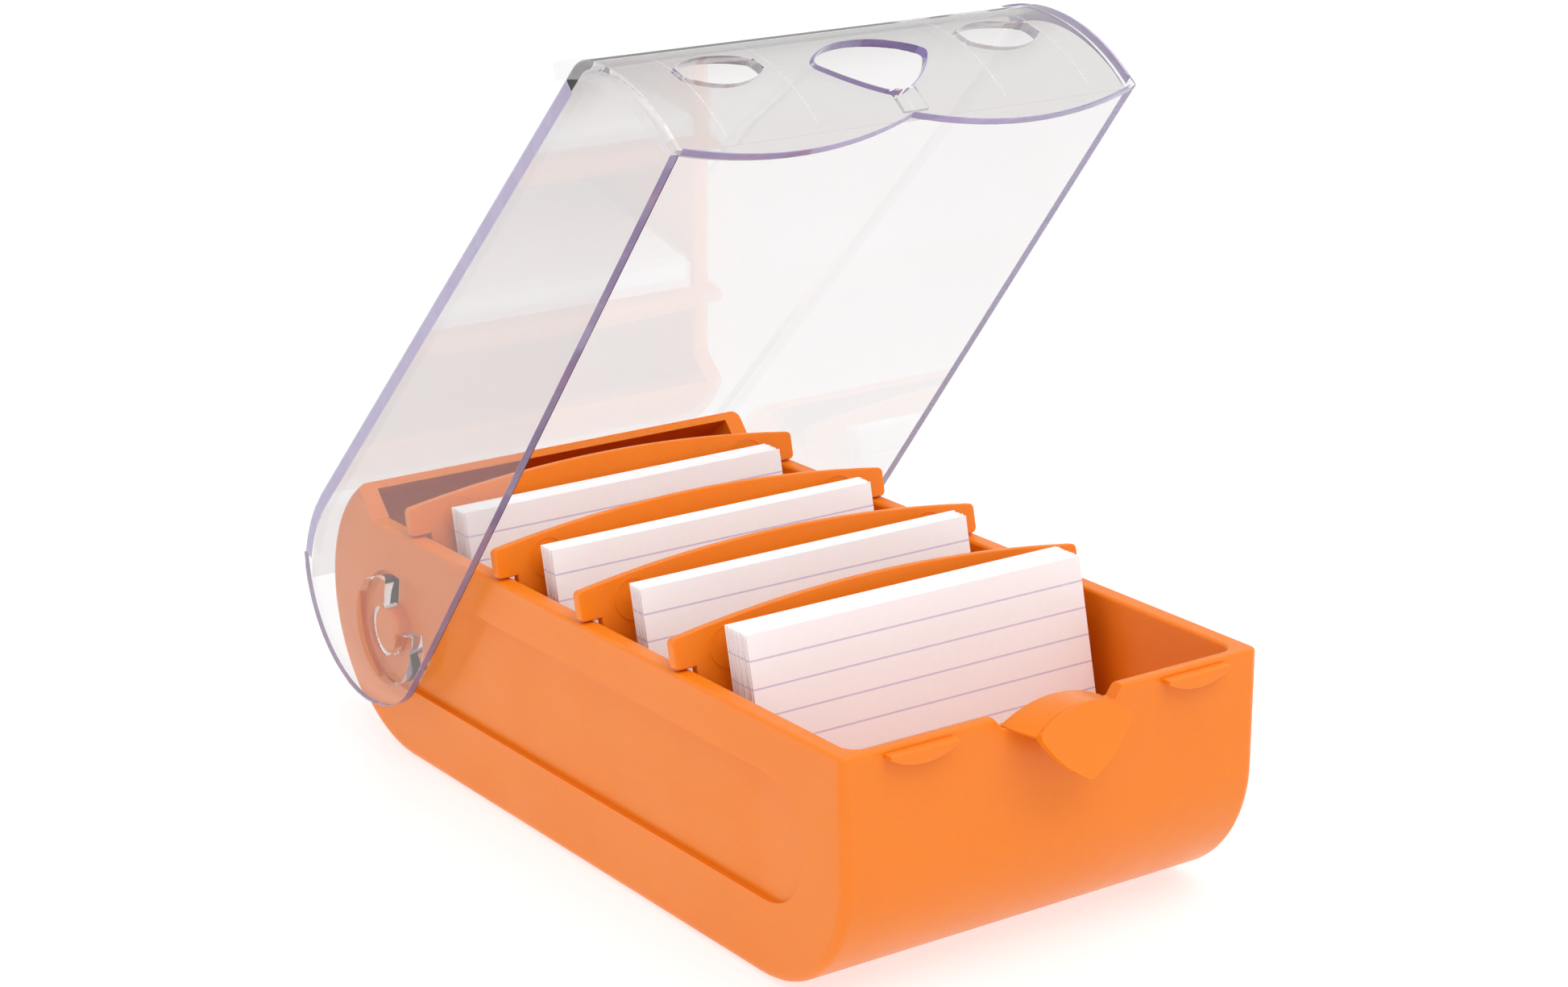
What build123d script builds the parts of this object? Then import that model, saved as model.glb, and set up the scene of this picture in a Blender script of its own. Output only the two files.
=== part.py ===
"""Long index-card box: a moulded base, a clear hinged lid, four sliding dividers and four packs of cards.

X runs across the box, Y from front to back, Z up from the table. Shapes are drawn with Y = 0 at the
front face and moved at the end, so that the origin is the middle of the flat underside. The lid is
drawn half open.
"""

from build123d import *
from math import cos, radians, sin, sqrt, tan
import os

# Cards, in millimetres: A8 landscape, index-card stock
CARD_WIDTH = 74.0
CARD_HEIGHT = 52.0
CARD_THICKNESS = 0.20
CARD_PITCH = 0.25
LEAN = 12.1

# Base
ORIGIN_Y = 89.25
HALF_WIDTH = 45.4
BOTTOM_HALF_WIDTH = 44.6
RIM_HEIGHT = 48.4
FRONT_RADIUS = 26.5
BACK_RADIUS = 29.5
BACK_CENTRE_Y = 152.0
HOOD_START_Y = 161.2
HOOD_TOP = (166.8, 54.4)
SIDE_WALL = 3.7
FRONT_WALL = 2.6
BACK_WALL = 2.3
FLOOR = 2.3
FRONT_FLOOR = 5.4
FLOOR_SLOPE_END_Y = 135.0
OUTER_FILLET = 1.8
CAVITY_FILLET = 3.0
RIM_FILLET = 0.7

# Long recess in each side, and the hinge boss that stands in its rear end
HINGE_Y = 155.0
HINGE_Z = 27.0
RECESS_RADIUS = 12.0
RECESS_DEPTH = 1.8
RECESS_START_DEPTH = 1.2
RECESS_FRONT_Y = 12.0
RECESS_RAMP = 15.0
BOSS_RADIUS = 5.0
BOSS_REACH = 46.9

# Front notch, catch tab and the two lens-shaped ledges
NOTCH_TOP_HALF = 14.0
NOTCH_BOTTOM_HALF = 12.3
NOTCH_DEPTH = 2.3
TAB_TOP = 50.3
TAB_SHOULDER = 46.2
TAB_TIP = 36.9
TAB_HALF = 9.9
TAB_ROOT_HALF = 11.5
TAB_REACH = 6.6
TAB_TILT = 11.0
TAB_WALL = 1.7
TAB_CORNER = 1.0
LEDGE_CENTRE = 29.85
LEDGE_HALF = 7.0
LEDGE_TOP = 47.6
LEDGE_REACH = 2.2

# Lid, drawn shut in its own plane: distance forward of the hinge, height above the hinge
LID_OPEN = 44.0
LID_HALF_WIDTH = 49.3
LID_WALL = 1.8
LID_TOP = 33.0
LID_FRONT = 163.1
LID_FRONT_RADIUS = 40.0
LID_FRONT_CENTRE_H = 2.0
LID_NOSE_RADIUS = 6.0
LID_TAIL_ANGLE = 31.0
LID_EDGE_FILLET = 1.2
SIDE_CORNER_H = 4.0
SIDE_TIP_RADIUS = 14.9
SCALLOP_LOW = 0.3
CUSP_HEIGHT = 4.6
CLIP_RADIUS = 11.2
CLIP_CLEARANCE = 0.06
CLIP_INNER_X = 44.3
CLIP_MOUTH = 36.0

# Openings in the lid's front panel, as heights above the hinge
WINDOW_CENTRE = 29.85
WINDOW_HALF = 7.95
WINDOW_HEIGHTS = (16.7, 20.0, 23.2, 26.0)
CATCH_HALF = 12.1
CATCH_HEIGHTS = (9.2, 19.3, 25.2)
BRIDGE_HALF = 2.6
BRIDGE_PROUD = 0.7

# Dividers: where each front face meets the rim, front to back
DIVIDER_RIM_Y = (49.9, 81.6, 112.0, 144.8)
DIVIDER_THICKNESS = 2.0
DIVIDER_HALF = 40.9
DIVIDER_EAR_HALF = 45.3
DIVIDER_EAR_HEIGHT = 5.7
DIVIDER_PEAK = 9.2
DIVIDER_LIFT = 0.05
RING_X = 33.8
RING_HEIGHT = 2.3
RING_RADIUS = 4.0

# Packs: how many cards stand behind the front one, and the gap to the divider behind
PACK_COUNTS = (26, 16, 16, 20)
PACK_GAPS = (4.2, 4.3, 3.4, 2.4)


def profile_face(curves):
    """Turn a closed outline in (Y, Z) into a face in the YZ plane."""
    return make_face(Plane.YZ * (Curve() + curves))


def slab_x(face, start, end):
    """Extrude a face in the YZ plane from one X to another."""
    return Pos(start, 0, 0) * extrude(face, amount=end - start, dir=(1, 0, 0))


def slab_y(face, start, end):
    """Extrude a face in the XZ plane from one Y to another."""
    return Pos(0, start, 0) * extrude(face, amount=end - start, dir=(0, 1, 0))


def floor_height(y):
    """Height of the sloping inner floor at a distance from the front."""
    share = min(max((y - FRONT_RADIUS) / (FLOOR_SLOPE_END_Y - FRONT_RADIUS), 0.0), 1.0)
    return FRONT_FLOOR + (FLOOR - FRONT_FLOOR) * share


def base_outer():
    """Solid block with the side outline: rounded front toe, bulging back, raised hood."""
    back = (BACK_CENTRE_Y + BACK_RADIUS * cos(radians(-5)), BACK_RADIUS + BACK_RADIUS * sin(radians(-5)))
    toe = FRONT_RADIUS * (1 - cos(radians(45)))
    outline = [
        Line((0, RIM_HEIGHT), (HOOD_START_Y, RIM_HEIGHT)),
        Line((HOOD_START_Y, RIM_HEIGHT), HOOD_TOP),
        ThreePointArc(HOOD_TOP, back, (BACK_CENTRE_Y, 0)),
        Line((BACK_CENTRE_Y, 0), (FRONT_RADIUS, 0)),
        ThreePointArc((FRONT_RADIUS, 0), (toe, toe), (0, FRONT_RADIUS)),
        Line((0, FRONT_RADIUS), (0, RIM_HEIGHT)),
    ]
    block = slab_x(profile_face(outline), -HALF_WIDTH - 5, HALF_WIDTH + 5)
    taper = HALF_WIDTH - BOTTOM_HALF_WIDTH
    top = RIM_HEIGHT * 1.25
    top_half = BOTTOM_HALF_WIDTH + taper * top / RIM_HEIGHT
    trapezium = Polyline(
        (-BOTTOM_HALF_WIDTH, 0), (BOTTOM_HALF_WIDTH, 0), (top_half, top), (-top_half, top), close=True
    )
    return block & slab_y(make_face(Plane.XZ * trapezium), -20, 230)


def base_cavity():
    """Space inside the base, open at the top."""
    inner = BACK_RADIUS - BACK_WALL
    reach_y = HOOD_TOP[0] - BACK_CENTRE_Y
    reach_z = HOOD_TOP[1] - BACK_RADIUS
    scale = inner / sqrt(reach_y**2 + reach_z**2)
    lip = (BACK_CENTRE_Y + reach_y * scale, BACK_RADIUS + reach_z * scale)
    back = (BACK_CENTRE_Y + inner, BACK_RADIUS)
    toe_radius = FRONT_RADIUS - FRONT_WALL
    toe_z = FRONT_FLOOR + toe_radius
    toe = toe_radius * (1 - cos(radians(45)))
    outline = [
        Line((FRONT_WALL, toe_z), (FRONT_WALL, 80)),
        Line((FRONT_WALL, 80), (140, 80)),
        Line((140, 80), lip),
        ThreePointArc(lip, back, (BACK_CENTRE_Y, FLOOR)),
        Line((BACK_CENTRE_Y, FLOOR), (FLOOR_SLOPE_END_Y, FLOOR)),
        Line((FLOOR_SLOPE_END_Y, FLOOR), (FRONT_RADIUS, FRONT_FLOOR)),
        ThreePointArc((FRONT_RADIUS, FRONT_FLOOR), (FRONT_WALL + toe, FRONT_FLOOR + toe), (FRONT_WALL, toe_z)),
    ]
    half = HALF_WIDTH - SIDE_WALL
    length = back[0] - FRONT_WALL
    plan = Pos(0, FRONT_WALL + length / 2) * RectangleRounded(2 * half, length, CAVITY_FILLET)
    return slab_x(profile_face(outline), -half, half) & extrude(plan, amount=80)


def side_recess(side):
    """Pill-shaped recess in one side, sloping up to the surface at its front end."""
    middle_y = (RECESS_FRONT_Y + RECESS_RADIUS + HINGE_Y) / 2
    length = HINGE_Y + RECESS_RADIUS - RECESS_FRONT_Y
    pill = Plane.YZ * (Pos(middle_y, HINGE_Z) * RectangleRounded(length, 2 * RECESS_RADIUS, RECESS_RADIUS - 0.01))
    prism = slab_x(pill, 0, 70)
    floor_x = HALF_WIDTH - RECESS_DEPTH
    plan = Polyline(
        (HALF_WIDTH - RECESS_START_DEPTH, RECESS_FRONT_Y),
        (floor_x, RECESS_FRONT_Y + RECESS_RAMP),
        (floor_x, HINGE_Y + 20),
        (HALF_WIDTH + 4, HINGE_Y + 20),
        (HALF_WIDTH + 4, RECESS_FRONT_Y),
        close=True,
    )
    cutter = prism & extrude(make_face(plan), amount=RIM_HEIGHT, dir=(0, 0, 1))
    return cutter if side > 0 else mirror(cutter, Plane.YZ)


def hinge_boss(side):
    """Round stub that the lid's clip turns on."""
    root = HALF_WIDTH - SIDE_WALL + 1
    stub = Plane.YZ * (Pos(HINGE_Y, HINGE_Z) * Circle(BOSS_RADIUS))
    boss = slab_x(stub, root, BOSS_REACH)
    boss = fillet(boss.edges().sort_by(Axis.X)[-1], 1.0)
    return boss if side > 0 else mirror(boss, Plane.YZ)


def front_ledge(side):
    """Half-lens ledge under the rim: flat on top, curved below."""
    left, right = LEDGE_CENTRE - LEDGE_HALF, LEDGE_CENTRE + LEDGE_HALF
    end = LEDGE_TOP - 0.8
    outline = [
        Line((left, LEDGE_TOP), (right, LEDGE_TOP)),
        Line((right, LEDGE_TOP), (right, end)),
        ThreePointArc((right, end), (LEDGE_CENTRE, LEDGE_TOP - 2.7), (left, end)),
        Line((left, end), (left, LEDGE_TOP)),
    ]
    face = make_face(Plane.XZ * (Curve() + outline))
    ledge = slab_y(face, -LEDGE_REACH, 1.0)
    ledge = fillet(ledge.edges().group_by(Axis.Y)[0], 0.4)
    return ledge if side > 0 else mirror(ledge, Plane.YZ)


def tab_outline(half, top, shoulder, tip):
    """Pick shape in (X, Z): a domed top over two bowed sides that meet at a tip."""
    bow = (half * 0.66, (shoulder + tip) / 2 + 0.15)
    left_bow = (-bow[0], bow[1])
    return [
        ThreePointArc((-half, shoulder), (0, top), (half, shoulder)),
        ThreePointArc((half, shoulder), bow, (0, tip)),
        ThreePointArc((0, tip), left_bow, (-half, shoulder)),
    ]


def catch_tab():
    """Domed tongue that grows out of the notch and hangs down as a pick-shaped lip."""
    face = make_face(Plane.XZ * (Curve() + tab_outline(TAB_HALF, TAB_TOP, TAB_SHOULDER, TAB_TIP)))
    lip = fillet(slab_y(face, 0, TAB_WALL).edges().filter_by(Axis.Y), TAB_CORNER)
    lip = Pos(0, -TAB_REACH, TAB_TOP) * Rot(-TAB_TILT, 0, 0) * Pos(0, 0, -TAB_TOP) * lip
    sections = []
    for y, half, top in ((1.6, TAB_ROOT_HALF, TAB_TOP - 0.8), (-TAB_REACH + 0.5, TAB_HALF, TAB_TOP - 0.05)):
        crescent = [
            ThreePointArc((-half, TAB_SHOULDER), (0, top), (half, TAB_SHOULDER)),
            Line((half, TAB_SHOULDER), (half - 1.2, TAB_SHOULDER - 1.0)),
            ThreePointArc((half - 1.2, TAB_SHOULDER - 1.0), (0, top - TAB_WALL), (-half + 1.2, TAB_SHOULDER - 1.0)),
            Line((-half + 1.2, TAB_SHOULDER - 1.0), (-half, TAB_SHOULDER)),
        ]
        sections.append(Pos(0, y, 0) * make_face(Plane.XZ * (Curve() + crescent)))
    return loft(sections) + lip


def base_box():
    """The moulded base with its notch, tab, ledges, recesses and hinge bosses."""
    outer = base_outer()
    rounded = [edge for edge in outer.edges() if abs(abs(edge.center().X) - HALF_WIDTH) < 3]
    low = [edge for edge in rounded if edge.center().Z < RIM_HEIGHT - 1 and edge.length > 5]
    outer = fillet(low, OUTER_FILLET)
    body = outer - base_cavity()
    rim = [edge for edge in body.edges() if abs(edge.center().Z - RIM_HEIGHT) < 0.02]
    body = fillet([edge for edge in rim if edge.center().Y < HOOD_START_Y - 5], RIM_FILLET)
    notch = Polyline(
        (-NOTCH_BOTTOM_HALF, RIM_HEIGHT - NOTCH_DEPTH),
        (NOTCH_BOTTOM_HALF, RIM_HEIGHT - NOTCH_DEPTH),
        (NOTCH_TOP_HALF + 0.7, RIM_HEIGHT + 1),
        (-NOTCH_TOP_HALF - 0.7, RIM_HEIGHT + 1),
        close=True,
    )
    body -= slab_y(make_face(Plane.XZ * notch), -5, 7)
    for side in (-1, 1):
        body -= side_recess(side)
        body += hinge_boss(side)
        body += front_ledge(side)
    return body + catch_tab()


def divider(rim_y):
    """Leaning T-shaped plate whose ears lie on the side rims."""
    foot = -(RIM_HEIGHT - floor_height(rim_y - 10) - 1.2) / cos(radians(LEAN))
    ear = DIVIDER_EAR_HEIGHT
    outline = [
        ThreePointArc((-DIVIDER_EAR_HALF, ear), (0, DIVIDER_PEAK), (DIVIDER_EAR_HALF, ear)),
        Polyline(
            (DIVIDER_EAR_HALF, ear),
            (DIVIDER_EAR_HALF, 0),
            (DIVIDER_HALF, 0),
            (DIVIDER_HALF - 0.6, foot),
            (-DIVIDER_HALF + 0.6, foot),
            (-DIVIDER_HALF, 0),
            (-DIVIDER_EAR_HALF, 0),
            (-DIVIDER_EAR_HALF, ear),
        ),
    ]
    face = make_face(Plane.XZ * (Curve() + outline))
    plate = slab_y(face, 0, DIVIDER_THICKNESS)
    corners = [e for e in plate.edges().filter_by(Axis.Y) if abs(e.center().X) > DIVIDER_EAR_HALF - 1]
    plate = fillet(corners, 1.1)
    plate = fillet(plate.faces().filter_by(Axis.Y).edges(), 0.35)
    for side in (-1, 1):
        ring = Plane.XZ * (Pos(side * RING_X, RING_HEIGHT) * (Circle(RING_RADIUS) - Circle(RING_RADIUS - 0.35)))
        plate += slab_y(ring, -0.15, 0.1)
    lift = DIVIDER_THICKNESS * sin(radians(LEAN)) + DIVIDER_LIFT
    return Pos(0, rim_y, RIM_HEIGHT + lift) * Rot(-LEAN, 0, 0) * plate


def card(front_y, bottom_z):
    """One card leaning back, its lower front edge at the given place."""
    blank = Box(CARD_WIDTH, CARD_THICKNESS, CARD_HEIGHT, align=(Align.CENTER, Align.MIN, Align.MIN))
    return Pos(0, front_y, bottom_z) * Rot(-LEAN, 0, 0) * blank


def pack_place(index):
    """Where a pack's front card stands: its lower front edge, in Y and Z."""
    depth = (PACK_COUNTS[index] + 1) * CARD_PITCH / cos(radians(LEAN))
    rim_y = DIVIDER_RIM_Y[index] - PACK_GAPS[index] - depth
    drop = RIM_HEIGHT - 4.0
    foot_y = rim_y - drop * tan(radians(LEAN))
    foot_z = floor_height(foot_y) + CARD_THICKNESS + 0.15
    return foot_y, foot_z


def card_pack(index):
    """The cards behind the front one, each standing on the floor."""
    foot_y, foot_z = pack_place(index)
    step = CARD_PITCH / cos(radians(LEAN))
    return Compound(children=[card(foot_y + step * n, foot_z) for n in range(1, PACK_COUNTS[index] + 1)])


def lid_point(forward, height):
    """A point of the shut lid's outline as (Y, Z)."""
    return HINGE_Y - forward, HINGE_Z + height


def envelope(inset):
    """Solid filling the lid's outside, or its inside when inset is the wall: nose, top and rounded tail."""
    radius = LID_FRONT_RADIUS - inset
    centre = LID_FRONT - LID_FRONT_RADIUS
    top = LID_TOP - inset
    rise = top - LID_FRONT_CENTRE_H
    nose = centre + sqrt(radius**2 - rise**2)
    low = (centre + radius * cos(radians(-30)), LID_FRONT_CENTRE_H + radius * sin(radians(-30)))
    tail = (-top * sin(radians(75)), top * cos(radians(75)))
    tail_mid = (-top * sin(radians(40)), top * cos(radians(40)))
    outline = [
        ThreePointArc(lid_point(*low), lid_point(centre + radius, LID_FRONT_CENTRE_H), lid_point(nose, top)),
        Line(lid_point(nose, top), lid_point(0, top)),
        ThreePointArc(lid_point(0, top), lid_point(*tail_mid), lid_point(*tail)),
        Polyline(lid_point(*tail), lid_point(tail[0] + 5, -60 - inset), lid_point(low[0], -60 - inset)),
        Line(lid_point(low[0], -60 - inset), lid_point(*low)),
    ]
    half = LID_HALF_WIDTH - inset
    solid = slab_x(profile_face(outline), -half, half)
    ridge = [e for e in solid.edges().filter_by(Axis.X) if (e.center() - Vector(0, *lid_point(nose, top))).length < 0.1]
    solid = fillet(ridge, LID_NOSE_RADIUS - inset)
    sides = [e for e in solid.edges() if abs(abs(e.center().X) - half) < 0.01 and e.center().Z > HINGE_Z + 5]
    return fillet(sides, LID_EDGE_FILLET if inset == 0 else 0.5)


def lid_region():
    """Side view of what is kept of the shell: the free edge, the round hinge end and the cut tail."""
    slope = radians(6.7)
    tail = radians(LID_TAIL_ANGLE)
    inner_front = LID_FRONT - LID_WALL
    run_start = (SIDE_TIP_RADIUS * sin(slope), -SIDE_TIP_RADIUS * cos(slope))
    run_end = (inner_front, run_start[1] + (inner_front - run_start[0]) * tan(slope))
    tip_mid = (-SIDE_TIP_RADIUS * sin(radians(20)), -SIDE_TIP_RADIUS * cos(radians(20)))
    tip_end = (-11.0, -11.2)
    tail_end = (-LID_TOP * sin(tail), LID_TOP * cos(tail))
    outline = [
        ThreePointArc(lid_point(*tail_end), lid_point(-23.4, 7.0), lid_point(*tip_end)),
        ThreePointArc(lid_point(*tip_end), lid_point(*tip_mid), lid_point(*run_start)),
        Line(lid_point(*run_start), lid_point(*run_end)),
        Polyline(
            lid_point(*run_end),
            lid_point(inner_front, -10),
            lid_point(LID_FRONT + 12, -10),
            lid_point(LID_FRONT + 12, 2 * LID_TOP),
            lid_point(2 * tail_end[0], 2 * tail_end[1]),
            lid_point(*tail_end),
        ),
    ]
    return slab_x(profile_face(outline), -LID_HALF_WIDTH - 5, LID_HALF_WIDTH + 5)


def lid_clip(side):
    """Open ring inside the side panel that snaps over the hinge boss."""
    ring = Circle(CLIP_RADIUS) - Circle(BOSS_RADIUS + CLIP_CLEARANCE)
    reach = CLIP_RADIUS * 2
    rise = reach * tan(radians(CLIP_MOUTH))
    mouth = make_face(Polyline((0, 0), (-reach, rise), (-reach, -rise), close=True))
    sketch = Plane.YZ * (Pos(HINGE_Y, HINGE_Z) * (ring - mouth))
    clip = slab_x(sketch, CLIP_INNER_X, LID_HALF_WIDTH - LID_WALL + 0.2)
    clip = chamfer(clip.edges().group_by(Axis.X)[0].filter_by(GeomType.CIRCLE), 0.3)
    return clip if side > 0 else mirror(clip, Plane.YZ)


def scallop_cutter():
    """What is trimmed off the front panel's lower edge: two lobes that meet in a cusp."""
    low = HINGE_Z + SCALLOP_LOW
    side = HINGE_Z + SIDE_CORNER_H
    cusp = HINGE_Z + CUSP_HEIGHT
    half = LID_HALF_WIDTH
    outline = [
        ThreePointArc((-half, side), (-half / 2, low), (0, cusp)),
        ThreePointArc((0, cusp), (half / 2, low), (half, side)),
        Polyline((half, side), (half + 5, side), (half + 5, HINGE_Z - 20), (-half - 5, HINGE_Z - 20)),
        Polyline((-half - 5, HINGE_Z - 20), (-half - 5, side), (-half, side)),
    ]
    return slab_y(make_face(Plane.XZ * (Curve() + outline)), -15, HINGE_Y - LID_FRONT + LID_WALL)


def window_cutter(side):
    """Lens-shaped window with blunt ends."""
    low, end_low, end_high, high = (HINGE_Z + h for h in WINDOW_HEIGHTS)
    left, right = WINDOW_CENTRE - WINDOW_HALF, WINDOW_CENTRE + WINDOW_HALF
    outline = [
        ThreePointArc((left, end_low), (WINDOW_CENTRE, low), (right, end_low)),
        Line((right, end_low), (right, end_high)),
        ThreePointArc((right, end_high), (WINDOW_CENTRE, high), (left, end_high)),
        Line((left, end_high), (left, end_low)),
    ]
    cutter = slab_y(make_face(Plane.XZ * (Curve() + outline)), -15, 15)
    return cutter if side > 0 else mirror(cutter, Plane.YZ)


def catch_cutter():
    """Pick-shaped hole for the catch tab."""
    tip, shoulder, top = (HINGE_Z + h for h in CATCH_HEIGHTS)
    hole = slab_y(make_face(Plane.XZ * (Curve() + tab_outline(CATCH_HALF, top, shoulder, tip))), -15, 15)
    return fillet(hole.edges().filter_by(Axis.Y), 1.2)


def catch_bridge():
    """Thickened strip between the catch hole's tip and the cusp of the lower edge."""
    low, high = HINGE_Z + CUSP_HEIGHT, HINGE_Z + CATCH_HEIGHTS[0] + 0.6
    centre = lid_point(LID_FRONT - LID_FRONT_RADIUS, LID_FRONT_CENTRE_H)
    barrel = Circle(LID_FRONT_RADIUS + BRIDGE_PROUD) - Circle(LID_FRONT_RADIUS - LID_WALL / 2)
    band = Plane.XZ * (Pos(0, (low + high) / 2) * Rectangle(2 * BRIDGE_HALF, high - low))
    return slab_x(Plane.YZ * (Pos(*centre) * barrel), -20, 20) & slab_y(band, -15, 15)


def clear_lid():
    """The clear lid, shaped shut and then swung half open about the hinge bosses."""
    lid = (envelope(0) - envelope(LID_WALL)) & lid_region()
    lid = lid - scallop_cutter() + catch_bridge() - catch_cutter()
    for side in (-1, 1):
        lid += lid_clip(side)
        lid -= window_cutter(side)
    swing = Pos(0, HINGE_Y, HINGE_Z) * Rot(-LID_OPEN, 0, 0) * Pos(0, -HINGE_Y, -HINGE_Z)
    return swing * lid


def build():
    """All sub-parts by node name."""
    nodes = {"base_box": base_box(), "clear_lid": clear_lid()}
    for index, rim_y in enumerate(DIVIDER_RIM_Y):
        number = index + 1
        nodes[f"divider_{number}"] = divider(rim_y)
        nodes[f"card_pack_{number}"] = card_pack(index)
        nodes[f"front_card_{number}"] = card(*pack_place(index))
    return nodes


os.makedirs("parts", exist_ok=True)
for name, shape in build().items():
    export_step(Pos(0, -ORIGIN_Y, 0) * shape, f"parts/{name}.step")
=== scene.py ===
"""Looks for the long card box: moulded orange base and dividers, clear lid, ruled cards, studio."""

import math

import bpy
import numpy as np
from mathutils import Matrix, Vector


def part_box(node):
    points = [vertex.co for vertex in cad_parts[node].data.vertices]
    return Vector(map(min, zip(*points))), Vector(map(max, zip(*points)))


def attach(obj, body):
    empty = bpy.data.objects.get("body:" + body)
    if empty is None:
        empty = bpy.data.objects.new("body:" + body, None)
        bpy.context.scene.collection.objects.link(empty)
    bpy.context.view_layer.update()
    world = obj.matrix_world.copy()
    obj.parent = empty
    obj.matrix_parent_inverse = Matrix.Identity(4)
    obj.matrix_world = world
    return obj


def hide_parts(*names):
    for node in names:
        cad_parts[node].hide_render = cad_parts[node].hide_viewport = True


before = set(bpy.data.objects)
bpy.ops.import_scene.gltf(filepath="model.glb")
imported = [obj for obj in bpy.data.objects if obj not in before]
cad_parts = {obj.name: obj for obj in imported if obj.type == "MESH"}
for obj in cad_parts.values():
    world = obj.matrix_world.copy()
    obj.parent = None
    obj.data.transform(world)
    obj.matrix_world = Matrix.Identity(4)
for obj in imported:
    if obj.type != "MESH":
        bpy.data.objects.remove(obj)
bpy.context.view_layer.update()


# Base: one injection moulding in a slightly translucent orange plastic, polished outside and
# plainer inside. It carries the hinge bosses, the catch tab and the two front ledges.


class Wire:
    """One value or colour inside a finish. Arithmetic on it lays down Math nodes."""

    def __init__(self, finish, socket):
        self.finish, self.socket = finish, socket

    def maths(self, operation, *others):
        """A Math node of this operation on this wire and the others."""
        inputs = dict(enumerate((self, *others)))
        return self.finish.node("ShaderNodeMath", {"operation": operation}, inputs)

    def __add__(self, other):
        return self.maths("ADD", other)

    def __mul__(self, other):
        return self.maths("MULTIPLY", other)

    def __sub__(self, other):
        return self.maths("SUBTRACT", other)

    def __lt__(self, other):
        return self.maths("LESS_THAN", other)

    def __abs__(self):
        return self.maths("ABSOLUTE")


class Finish:
    """A surface finish: a material, its shader, and the nodes that vary it."""

    def __init__(self, name, constants):
        self.material = bpy.data.materials.new(name)
        self.material.use_nodes = True
        self.tree = self.material.node_tree
        self.shader = self.tree.nodes["Principled BSDF"]
        for label, value in constants.items():
            self.shader.inputs[label].default_value = value

    def node(self, kind, settings, inputs, output=0):
        """Adds a node: its settings first, then its inputs, each a plain value or a wire."""
        made = self.tree.nodes.new(kind)
        for label, value in settings.items():
            setattr(made, label, value)
        for label, value in inputs.items():
            self.feed(made.inputs[label], value)
        return Wire(self, made.outputs[output])

    def feed(self, socket, value):
        """Links a wire to a socket, or sets a plain value on it."""
        if isinstance(value, Wire):
            self.tree.links.new(value.socket, socket)
        else:
            socket.default_value = value

    def vary(self, label, value):
        """Feeds one input of the shader."""
        self.feed(self.shader.inputs[label], value)

    def place(self):
        """Position in the object's own coordinates, in metres."""
        return self.node("ShaderNodeTexCoord", {}, {}, "Object")

    def split(self, vector):
        """The X, Y and Z of a position, each as a wire."""
        return [self.node("ShaderNodeSeparateXYZ", {}, {0: vector}, axis) for axis in "XYZ"]

    def grain(self, scale, detail=2.0, roughness=0.5, vector=None):
        """Soft noise from 0 to 1, with this many lumps to the metre."""
        inputs = {"Vector": vector or self.place(), "Scale": scale, "Detail": detail}
        inputs["Roughness"] = roughness
        return self.node("ShaderNodeTexNoise", {}, inputs, "Fac")

    def between(self, factor, first, second):
        """The first colour where the factor is 0 and the second where it is 1."""
        settings = {"data_type": "RGBA", "clamp_factor": True}
        return self.node("ShaderNodeMix", settings, {0: factor, 6: first, 7: second}, 2)

    def ramp(self, value, low, high, start=0.0, end=1.0):
        """Rescales a value smoothly from one span to another."""
        inputs = {0: value, 1: low, 2: high, 3: start, 4: end}
        return self.node("ShaderNodeMapRange", {"interpolation_type": "SMOOTHSTEP"}, inputs)

    def bump(self, height, distance, strength=1.0):
        """Presses a height into the shading normal, at most this far in metres."""
        inputs = {"Height": height, "Distance": distance, "Strength": strength}
        self.vary("Normal", self.node("ShaderNodeBump", {}, inputs))


def orange_moulding(name, depth):
    """Orange plastic: mottled tone, faint flow marks and a fine skin, redder where the wall is thick."""
    plastic = Finish(
        name,
        {
            "IOR": 1.5,
            "Specular IOR Level": 0.3,
            "Subsurface Weight": 0.35,
            "Subsurface Radius": (1.0, 0.22, 0.04),
            "Subsurface Scale": depth,
            "Coat Roughness": 0.12,
        },
    )
    mottle = plastic.grain(55.0, 3.0)
    stretched = plastic.node(
        "ShaderNodeMapping", {}, {"Vector": plastic.place(), "Scale": (1.0, 0.12, 1.0)}
    )
    flow = plastic.grain(420.0, 2.0, vector=stretched)
    pale = (0.84, 0.225, 0.010, 1.0)
    deep = (0.80, 0.190, 0.005, 1.0)
    plastic.vary("Base Color", plastic.between(mottle * 0.6 + flow * 0.4, pale, deep))
    skin = plastic.grain(3800.0, 1.0)
    plastic.vary("Roughness", plastic.ramp(mottle, 0.3, 0.7, 0.30, 0.38) + (skin - 0.5) * 0.05)
    plastic.vary("Coat Weight", plastic.ramp(flow, 0.3, 0.7, 0.04, 0.12))
    plastic.bump(skin * 0.5 + flow * 0.5, 0.00003)
    return plastic.material


def dress(node, material):
    """Gives a CAD node this material in place of its own."""
    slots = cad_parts[node].data.materials
    slots.clear()
    slots.append(material)


dress("base_box", orange_moulding("orange base moulding", 0.003))


# Dividers: four flat T-shaped plates moulded in the same orange, thinner, so that more light comes
# through them. Their ears lie on the rims and they slide along the box.

divider_plastic = orange_moulding("orange divider moulding", 0.002)
for number in (1, 2, 3, 4):
    dress(f"divider_{number}", divider_plastic)


# Cards: packs of small white index cards printed with thin lilac lines, standing on the floor of
# the box and leaning back on the divider behind. The cut edges that face sideways carry a painted pink,
# standing in for orange light bounced from the box.

card_half_width = 0.037
card_height = 0.052
card_thickness = 0.00020
card_lean = math.radians(12.1)


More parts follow.
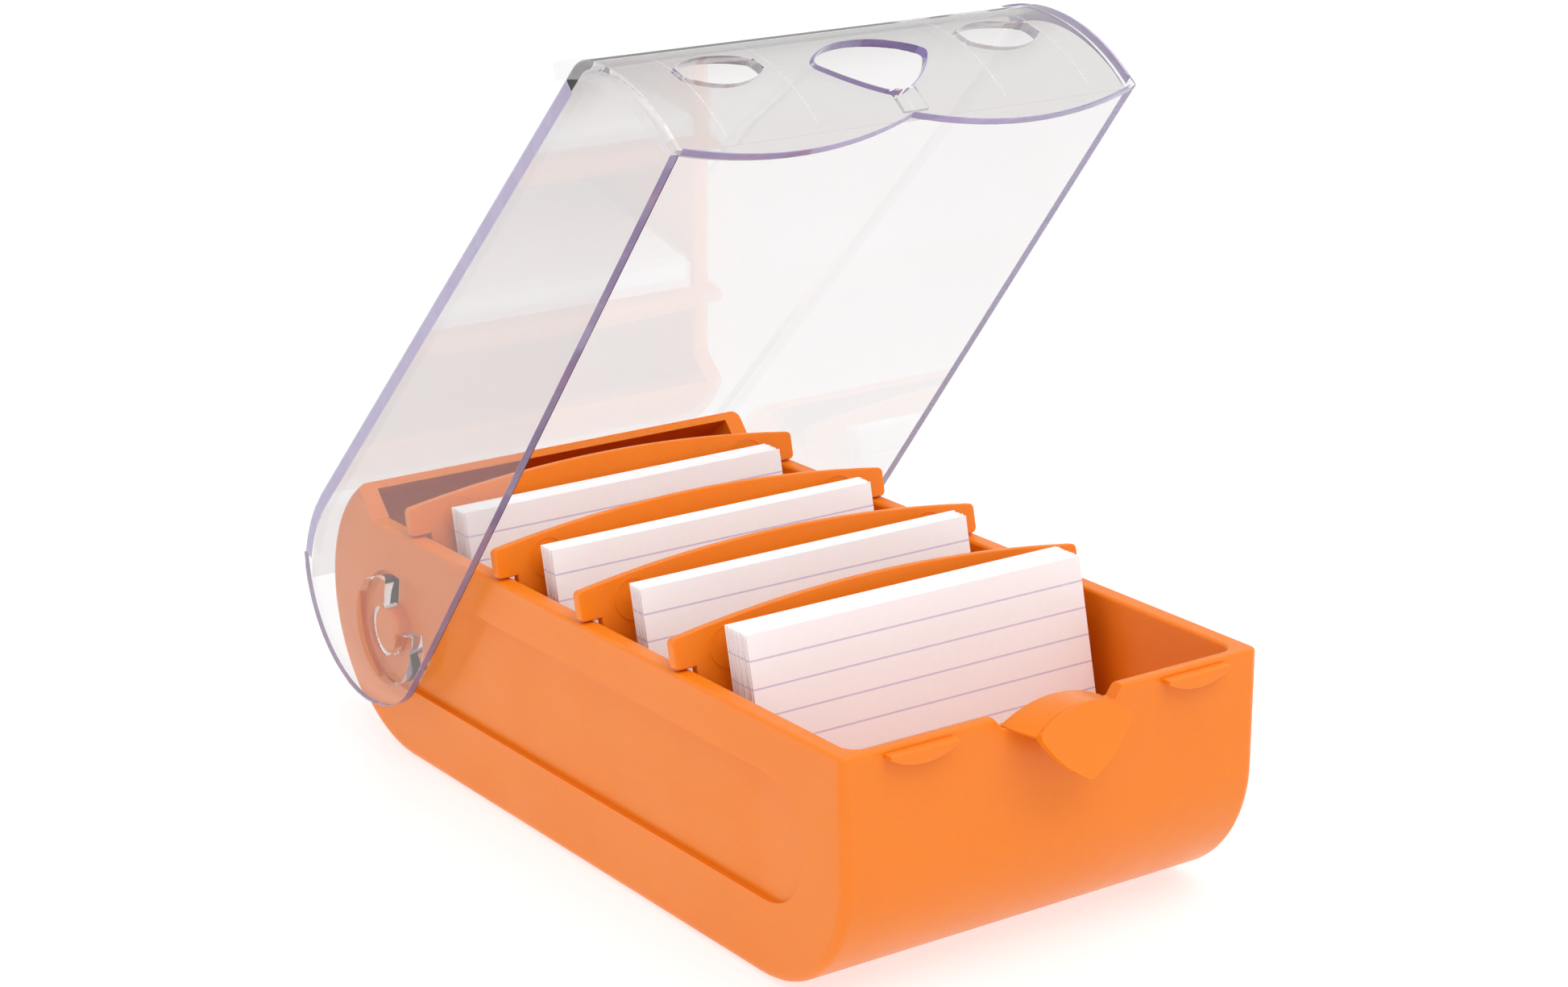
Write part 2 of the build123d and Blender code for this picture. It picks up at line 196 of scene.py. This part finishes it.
def card_stock(name, top, first_line, line_gap):
    """White card whose lines lie at fixed heights below the top edge, with fibres and a cut edge; the cut
    edges that face sideways get a painted pink standing in for orange light bounced from the box.
    """
    paper = Finish(name, {"Roughness": 0.62, "IOR": 1.45, "Specular IOR Level": 0.35})
    up = paper.split(paper.place())[2]
    fibre = paper.grain(900.0, 3.0, 0.6)
    cloud = paper.grain(60.0, 2.0)
    white = paper.between(cloud, (0.975, 0.96, 0.97, 1.0), (0.95, 0.935, 0.945, 1.0))
    white = paper.between(fibre * 0.25, white, (0.80, 0.77, 0.79, 1.0))
    step = line_gap * math.cos(card_lean)
    start = top - first_line * math.cos(card_lean)
    rows = (up * -1.0 + (start + step / 2)).maths("MODULO", step)
    drawn = abs(rows - step / 2) < 0.00016
    below = up < (start + step / 4)
    lilac = paper.between(paper.grain(500.0), (0.50, 0.42, 0.66, 1.0), (0.62, 0.54, 0.74, 1.0))
    printed = paper.between(drawn * below * 0.75, white, lilac)
    # Painted bounce light: the card edges that face sideways are tinted pink, standing in for orange
    # light bounced from the box walls. The card itself is white.
    side = paper.split(paper.node("ShaderNodeNewGeometry", {}, {}, "True Normal"))[0]
    cut = paper.ramp(abs(side), 0.6, 0.9)
    painted_orange_bounce = paper.between(cloud, (0.93, 0.80, 0.80, 1.0), (0.86, 0.72, 0.74, 1.0))
    paper.vary("Base Color", paper.between(cut * 0.7, printed, painted_orange_bounce))
    paper.vary("Roughness", paper.ramp(fibre, 0.3, 0.7, 0.55, 0.70))
    paper.bump(fibre, 0.00002, 0.6)
    return paper.material


def slabs(name, fronts, backs):
    """Closed thin solids from pairs of grids: fronts and backs are (pieces, across, up, 3) arrays.
    Each front grid faces the reader, its back grid faces away, and a rim of quads joins their edges."""
    pieces, across, up = fronts.shape[:3]
    size = across * up
    index = np.arange(size).reshape(across, up)
    corners = [index[:-1, :-1], index[1:, :-1], index[1:, 1:], index[:-1, 1:]]
    quads = np.stack(corners, -1).reshape(-1, 4)
    loop = np.concatenate([index[:-1, 0], index[-1, :-1], index[:0:-1, -1], index[0, :0:-1]])
    after = np.roll(loop, -1)
    rim = np.stack([loop, loop + size, after + size, after], -1)
    one = np.concatenate([quads, quads[:, ::-1] + size, rim])
    faces = (one[None] + np.arange(pieces)[:, None, None] * 2 * size).reshape(-1, 4)
    points = np.stack([fronts.reshape(pieces, size, 3), backs.reshape(pieces, size, 3)], 1)
    points = points.reshape(-1, 3)
    mesh = bpy.data.meshes.new(name)
    mesh.from_pydata(points.tolist(), [], faces.tolist())
    mesh.update()
    made = bpy.data.objects.new(name, mesh)
    bpy.context.scene.collection.objects.link(made)
    return made


def leaning_cards(name, low, high, count, seed):
    """Cards spread evenly between the pack's two faces. A point is (x, y0 + h sin lean, z0 + h cos lean)
    plus a shallow bow across the width, and each card sits a hair higher, lower or aside of its place."""
    chance = np.random.default_rng(seed)
    depth = (high[1] - low[1]) - card_height * math.sin(card_lean)
    foot = low[2] + card_thickness * math.sin(card_lean)
    across = np.linspace(-1.0, 1.0, 15)[None, :, None]
    height = np.linspace(0.0, 1.0, 9)[None, None, :] * card_height
    place = np.linspace(0.0, depth - card_thickness, count)[:, None, None]
    aside = chance.uniform(-0.00022, 0.00022, count)[:, None, None]
    raised = chance.uniform(-0.00004, 0.00016, count)[:, None, None]
    bow = 0.00006 * np.cos(across * math.pi / 2)
    x = across * card_half_width + aside + height * 0
    y = low[1] + place + height * math.sin(card_lean) + bow
    z = foot + raised + height * math.cos(card_lean) + across * 0
    fronts = np.stack(np.broadcast_arrays(x, y, z), -1)
    normal = np.array([0.0, math.cos(card_lean), -math.sin(card_lean)])
    return slabs(name, fronts, fronts + normal * card_thickness)


for number, count in ((1, 27), (2, 17), (3, 17), (4, 21)):
    low_front, high_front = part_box(f"front_card_{number}")
    high_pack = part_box(f"card_pack_{number}")[1]
    stock = card_stock(f"ruled card {number}", high_front[2], 0.0046, 0.00505)
    cards = leaning_cards(f"cards_{number}", low_front, high_pack, count, number)
    cards.data.materials.append(stock)
    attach(cards, f"cards_{number}")
    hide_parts(f"front_card_{number}", f"card_pack_{number}")


# Lid: one clear moulding, polished on both faces, with a lavender cast that gathers in its cut
# edges. Rings inside its side panels snap over the bosses of the base, and it stays half open.

hinge = np.array([0.0, 0.06575, 0.027])
lid_open = math.radians(44.0)
lid_half_width = 0.0493
lid_top = 0.033
nose_forward, nose_up = 0.1231, 0.002
nose_radius, nose_inner_radius = 0.0400, 0.0382


def clear_moulding():
    """Clear plastic: a grey cast with a little warmth, painted darker where the front rolls over into the
    top to stand in for the shade of refraction at that grazing curve, a polished skin and very faint
    ripples.
    Its low index keeps the thin walls from going dark at their ends."""
    clear = Finish(
        "clear lid moulding",
        {
            "IOR": 1.14,
            "Transmission Weight": 1.0,
            "Coat Weight": 0.6,
            "Coat IOR": 1.5,
            "Coat Roughness": 0.02,
        },
    )
    y, z = clear.split(clear.place())[1:]
    y = y - float(hinge[1])
    z = z - float(hinge[2])
    forward = z * math.sin(lid_open) - y * math.cos(lid_open)
    up = y * math.sin(lid_open) + z * math.cos(lid_open)
    # Painted shade: the base colour turns a darker grey where the front rolls over into the top, standing
    # in for dark refraction at that grazing curve.
    nose_painted_shade = clear.ramp(forward, 0.130, 0.150) * clear.ramp(up, 0.022, 0.031)
    cloud = clear.grain(25.0, 2.0)
    body = clear.between(cloud, (0.862, 0.851, 0.849, 1.0), (0.842, 0.830, 0.829, 1.0))
    clear.vary("Base Color", clear.between(nose_painted_shade * 0.55, body, (0.60, 0.59, 0.585, 1.0)))
    clear.vary("Roughness", clear.ramp(clear.grain(140.0, 2.0), 0.3, 0.7, 0.015, 0.05))
    clear.bump(clear.grain(60.0, 1.0), 0.0002, 0.25)
    return clear.material


dress("clear_lid", clear_moulding())
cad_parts["clear_lid"].visible_shadow = False


# Cut edges of the lid: the clear plastic carries light along its walls and lets it out at the
# edges, which therefore glow lavender all round the free edge, the windows and the catch hole.


def lid_to_box(across, forward, up):
    """Lid coordinates to box coordinates: turned by the opening angle about the hinge line."""
    y = hinge[1] - forward * math.cos(lid_open) + up * math.sin(lid_open)
    z = hinge[2] + forward * math.sin(lid_open) + up * math.cos(lid_open)
    return np.stack(np.broadcast_arrays(across, y, z), -1)


def arc_through(start, middle, end, count):
    """Points on the circle through three points: centre from the perpendicular bisectors, then
    evenly turned from the start angle through the middle angle to the end angle."""
    start, middle, end = (np.array(p, float) for p in (start, middle, end))
    rows = 2 * np.stack([middle - start, end - start])
    centre = np.linalg.solve(rows, [middle @ middle - start @ start, end @ end - start @ start])
    angles = [math.atan2(*(p - centre)[::-1]) for p in (start, middle, end)]
    to_middle = (angles[1] - angles[0] + math.pi) % (2 * math.pi) - math.pi
    to_end = (angles[2] - angles[1] + math.pi) % (2 * math.pi) - math.pi
    turn = angles[0] + np.linspace(0.0, 1.0, count) * (to_middle + to_end)
    radius = np.linalg.norm(start - centre)
    return centre + radius * np.stack([np.cos(turn), np.sin(turn)], -1)


def edge_path():
    """Free edge of a side panel as (forward, up): tail, round hinge end, then straight to the front."""
    slope = math.radians(6.7)
    tail = math.radians(31.0)
    toe_angle = math.radians(20)
    toe_radius = 0.0149
    front_end = 0.1613
    tip = (-0.0110, -0.0112)
    below = (-toe_radius * math.sin(toe_angle), -toe_radius * math.cos(toe_angle))
    start = (toe_radius * math.sin(slope), -toe_radius * math.cos(slope))
    front = (front_end, start[1] + (front_end - start[0]) * math.tan(slope))
    tail_end = (-lid_top * math.sin(tail), lid_top * math.cos(tail))
    haunch = arc_through(tail_end, (-0.0234, 0.0070), tip, 24)
    toe = arc_through(tip, below, start, 20)
    run = np.linspace(start, front, 40)
    return np.concatenate([haunch[:-1], toe[:-1], run])


def lid_band(name, rows, sunk, finish):
    """A thin band inside the clear wall. Rows is (count, across, 3) in lid coordinates (across,
    forward, up), and sunk, of the same shape, is the same band a little deeper in the plastic."""
    fronts = lid_to_box(rows[..., 0], rows[..., 1], rows[..., 2])
    backs = lid_to_box(sunk[..., 0], sunk[..., 1], sunk[..., 2])
    band = slabs(name, fronts[None], backs[None])
    band.data.materials.append(finish)
    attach(band, "lid")
    return band


def outward(path):
    """Unit normals of a path in a plane, on its right-hand side."""
    step = np.gradient(path, axis=0)
    normal = np.stack([step[:, 1], -step[:, 0]], -1)
    return normal / np.linalg.norm(normal, axis=1, keepdims=True)


def side_edge_band(name, side):
    """Band just under a side panel's free edge, as wide as the wall, following edge_path."""
    path = edge_path()
    normal = outward(path)
    across = np.linspace(0.04764, 0.04916, 3)[None, :, None] * side
    ends = []
    for depth in (0.00004, 0.00016):
        line = (path - normal * depth)[:, None, :]
        ends.append(np.concatenate([across + line[..., :1] * 0, line + across * 0], -1))
    shallow, deep = ends if side < 0 else ends[::-1]
    return lid_band(name, shallow, deep, edge_finish)


def ridge_band(name, side, path, finish):
    """Band of painted reflection under the rounded corner between a side panel and the top: each point of
    the path is pushed in along its normal by r (1 - sin t) and the side in by r (1 - cos t), t from 0 to
    90 degrees, then straight down the side."""
    normal = -outward(path)
    turn = np.linspace(-2.0, math.pi / 2, 12)[None, :]
    bend = np.where(turn < 0, turn, np.sin(turn))
    radius = 0.0012
    ends = []
    for depth in (0.00006, 0.00018):
        inward = depth + (radius - depth) * (1 - bend)
        corner = (radius - depth) * (1 - np.cos(np.maximum(turn, 0)))
        aside = side * (lid_half_width - depth - corner)
        forward = path[:, :1] - normal[:, :1] * inward
        up = path[:, 1:] - normal[:, 1:] * inward
        ends.append(np.stack(np.broadcast_arrays(aside, forward, up), -1))
    shallow, deep = ends if side > 0 else ends[::-1]
    return lid_band(name, shallow, deep, finish)


def front_reach(up, radius):
    """How far forward the front panel's arc lies at a height: centre plus sqrt(r^2 - h^2)."""
    return nose_forward + np.sqrt(radius**2 - (up - nose_up) ** 2)


def rim_band(name, outline, finish):
    """Band round an opening or edge cut straight through the front panel. The outline is
    (across, up) with the plastic on its left; each point spans the wall from inside to outside."""
    normal = outward(outline)
    share = np.linspace(0.04, 0.96, 4)[None, :]
    ends = []
    for depth in (0.00004, 0.00016):
        moved = outline - normal * depth
        inner = front_reach(moved[:, 1:], nose_inner_radius)
        outer = front_reach(moved[:, 1:], nose_radius)
        forward = inner + share * (outer - inner)
        ends.append(np.stack(np.broadcast_arrays(moved[:, :1], forward, moved[:, 1:]), -1))
    return lid_band(name, ends[0], ends[1], finish)


def rounded(outline, reach):
    """Rounds the corners of a closed outline: every point becomes the mean of its neighbours."""
    steps = np.arange(-reach, reach + 1)
    index = (np.arange(len(outline))[:, None] + steps) % len(outline)
    mean = outline[index].mean(1)
    return np.concatenate([mean, mean[:1]])


def cut_edge(name, dark, light, alpha):
    """Glowing edge of clear plastic, painted as a lavender cast, clouded along its length, partly
    see-through; laid along a rounded ridge, the same band is painted reflection.
    """
    edge = Finish(name, {"IOR": 1.45, "Alpha": alpha})
    cloud = edge.grain(120.0, 3.0)
    edge.vary("Base Color", edge.between(cloud, dark, light))
    edge.vary("Roughness", edge.ramp(cloud, 0.3, 0.7, 0.18, 0.32))
    return edge.material


edge_finish = cut_edge("lavender cut edge", (0.36, 0.30, 0.56, 1.0), (0.56, 0.50, 0.72, 1.0), 0.78)
rim_finish = cut_edge("violet opening rim", (0.24, 0.19, 0.46, 1.0), (0.40, 0.34, 0.62, 1.0), 0.80)
# The ridge finishes are painted reflection, standing in for light bent and reflected along the lid's
# rounded corners; the faint one also colours the real witness lines.
ridge_painted_reflection_finish = cut_edge("painted reflection on ridge", (0.50, 0.44, 0.66, 1.0), (0.60, 0.55, 0.74, 1.0), 0.92)
witness_and_painted_reflection_finish = cut_edge("faint witness line and painted reflection", (0.70, 0.68, 0.70, 1.0), (0.80, 0.78, 0.80, 1.0), 0.25)
pale_finish = cut_edge("pale opening rim", (0.56, 0.54, 0.56, 1.0), (0.74, 0.72, 0.76, 1.0), 0.45)

tail_turn = np.linspace(math.radians(30.0), 0.0, 14)[:, None]
tail_run = lid_top * np.concatenate([-np.sin(tail_turn), np.cos(tail_turn)], 1)
top_run = np.stack([np.linspace(0.0, 0.1432, 30), np.full(30, lid_top)], -1)
nose_turn = np.linspace(math.radians(62.0), math.radians(6.0), 24)[:, None]
front_run = nose_radius * np.concatenate([np.cos(nose_turn), np.sin(nose_turn)], 1)
front_run = front_run + (nose_forward, nose_up)
top_path = np.concatenate([tail_run, top_run[1:]])
for side, label in ((-1, "left"), (1, "right")):
    side_edge_band(f"lid_edge_{label}", side)
# Painted reflection along the rounded corners between side panels and top: the top run of the left panel
# and the front arcs of both.
ridge_band("lid_ridge_left", -1, top_path, ridge_painted_reflection_finish)
ridge_band("lid_front_ridge_right", 1, front_run, ridge_painted_reflection_finish)
ridge_band("lid_front_ridge_left", -1, front_run, witness_and_painted_reflection_finish)

left_lobe = arc_through((-0.0475, 0.00385), (-0.02465, 0.0003), (0.0, 0.0046), 40)
right_lobe = arc_through((0.0, 0.0046), (0.02465, 0.0003), (0.0475, 0.00385), 40)
witness_rise = np.linspace(0.0052, 0.0290, 24)[:, None]
for number, across in enumerate((-0.0385, -0.0200, 0.0200, 0.0385), 1):
    seam = across + np.linspace(-0.00014, 0.00014, 2)[None, :]
    levels = [
        np.stack(np.broadcast_arrays(seam, front_reach(witness_rise, radius), witness_rise), -1)
        for radius in (0.03996, 0.03986)
    ]
    lid_band(f"lid_witness_{number}", levels[0], levels[1], witness_and_painted_reflection_finish)
rim_band("lid_scallop_left", left_lobe, edge_finish)
rim_band("lid_scallop_right", right_lobe, edge_finish)
window_centre, window_half = 0.02985, 0.00795
for side, label in ((-1, "left"), (1, "right")):
    middle = side * window_centre
    near, far = middle - window_half, middle + window_half
    above = arc_through((near, 0.0232), (middle, 0.0260), (far, 0.0232), 30)
    below = arc_through((far, 0.0200), (middle, 0.0167), (near, 0.0200), 30)
    rim_band(f"lid_window_rim_{label}", rounded(np.concatenate([above, below]), 1), pale_finish)
crown = arc_through((-0.0121, 0.0193), (0.0, 0.0252), (0.0121, 0.0193), 40)
right_side = arc_through((0.0121, 0.0193), (0.0080, 0.0144), (0.0, 0.0092), 26)[1:]
left_side = arc_through((0.0, 0.0092), (-0.0080, 0.0144), (-0.0121, 0.0193), 26)[1:-1]
rim_band("lid_catch_rim", rounded(np.concatenate([crown, right_side, left_side]), 2), rim_finish)


# Studio: a pale seamless table with a glow of its own, one broad soft light overhead and two
# weaker ones at the sides, under an even white surround.

table = Finish(
    "pale table",
    {
        "Roughness": 0.6,
        "Base Color": (0.40, 0.40, 0.40, 1.0),
        "Emission Color": (1.0, 1.0, 1.0, 1.0),
        "Emission Strength": 0.66,
    },
)
bpy.ops.mesh.primitive_plane_add(size=12.0, location=(0.0, 0.0, -0.0002))
floor = bpy.context.object
floor.name = "table"
floor.data.materials.append(table.material)


def soft_light(name, place, size, power):
    """A white square softbox at a place, facing the middle of the box."""
    lamp = bpy.data.lights.new(name, "AREA")
    lamp.shape = "SQUARE"
    lamp.size = size
    lamp.energy = power
    box = bpy.data.objects.new(name, lamp)
    bpy.context.scene.collection.objects.link(box)
    way = np.array((0.0, 0.0, 0.05)) - np.array(place)
    axis_z = -way / np.linalg.norm(way)
    axis_x = np.cross((0.0, 0.0, 1.0), axis_z)
    axis_x /= np.linalg.norm(axis_x)
    turn = np.eye(4)
    turn[:3, :3] = np.stack([axis_x, np.cross(axis_z, axis_x), axis_z], 1)
    turn[:3, 3] = place
    box.matrix_world = Matrix(turn.tolist())


soft_light("overhead", (0.05, -0.55, 1.15), 1.1, 8.4)
soft_light("right fill", (1.2, -0.3, 0.7), 0.9, 1.5)
soft_light("left fill", (-1.2, -0.1, 0.5), 0.9, 2.0)

world = bpy.data.worlds.new("studio white")
world.use_nodes = True
background = world.node_tree.nodes["Background"]
background.inputs["Color"].default_value = (1.0, 1.0, 1.0, 1.0)
background.inputs["Strength"].default_value = 0.76
bpy.context.scene.world = world
bpy.context.scene.view_settings.view_transform = "Standard"
bpy.context.scene.cycles.max_bounces = 20
bpy.context.scene.cycles.transmission_bounces = 20


# Camera: a long lens, a little above the rim and off to the left of the front, rolled by a
# fraction of a degree.

azimuth, elevation, roll = math.radians(-34.53), math.radians(17.25), math.radians(-0.642)
level = np.array([-math.sin(azimuth), math.cos(azimuth), 0.0])
ahead = level * math.cos(elevation) - np.array([0.0, 0.0, math.sin(elevation)])
right = np.cross(ahead, (0.0, 0.0, 1.0))
right /= np.linalg.norm(right)
upward = np.cross(right, ahead)
turned_right = math.cos(roll) * right + math.sin(roll) * upward
turned_up = math.cos(roll) * upward - math.sin(roll) * right
pose = np.eye(4)
pose[:3, :3] = np.stack([turned_right, turned_up, -ahead], 1)
pose[:3, 3] = (-0.33644, -0.50087, 0.24997)
lens = bpy.data.cameras.new("camera")
lens.sensor_width = 36.0
lens.lens = 76.5
lens.shift_x = -0.0096
lens.shift_y = 0.0017
lens.clip_start = 0.01
camera = bpy.data.objects.new("camera", lens)
bpy.context.scene.collection.objects.link(camera)
camera.matrix_world = Matrix(pose.tolist())
bpy.context.scene.camera = camera
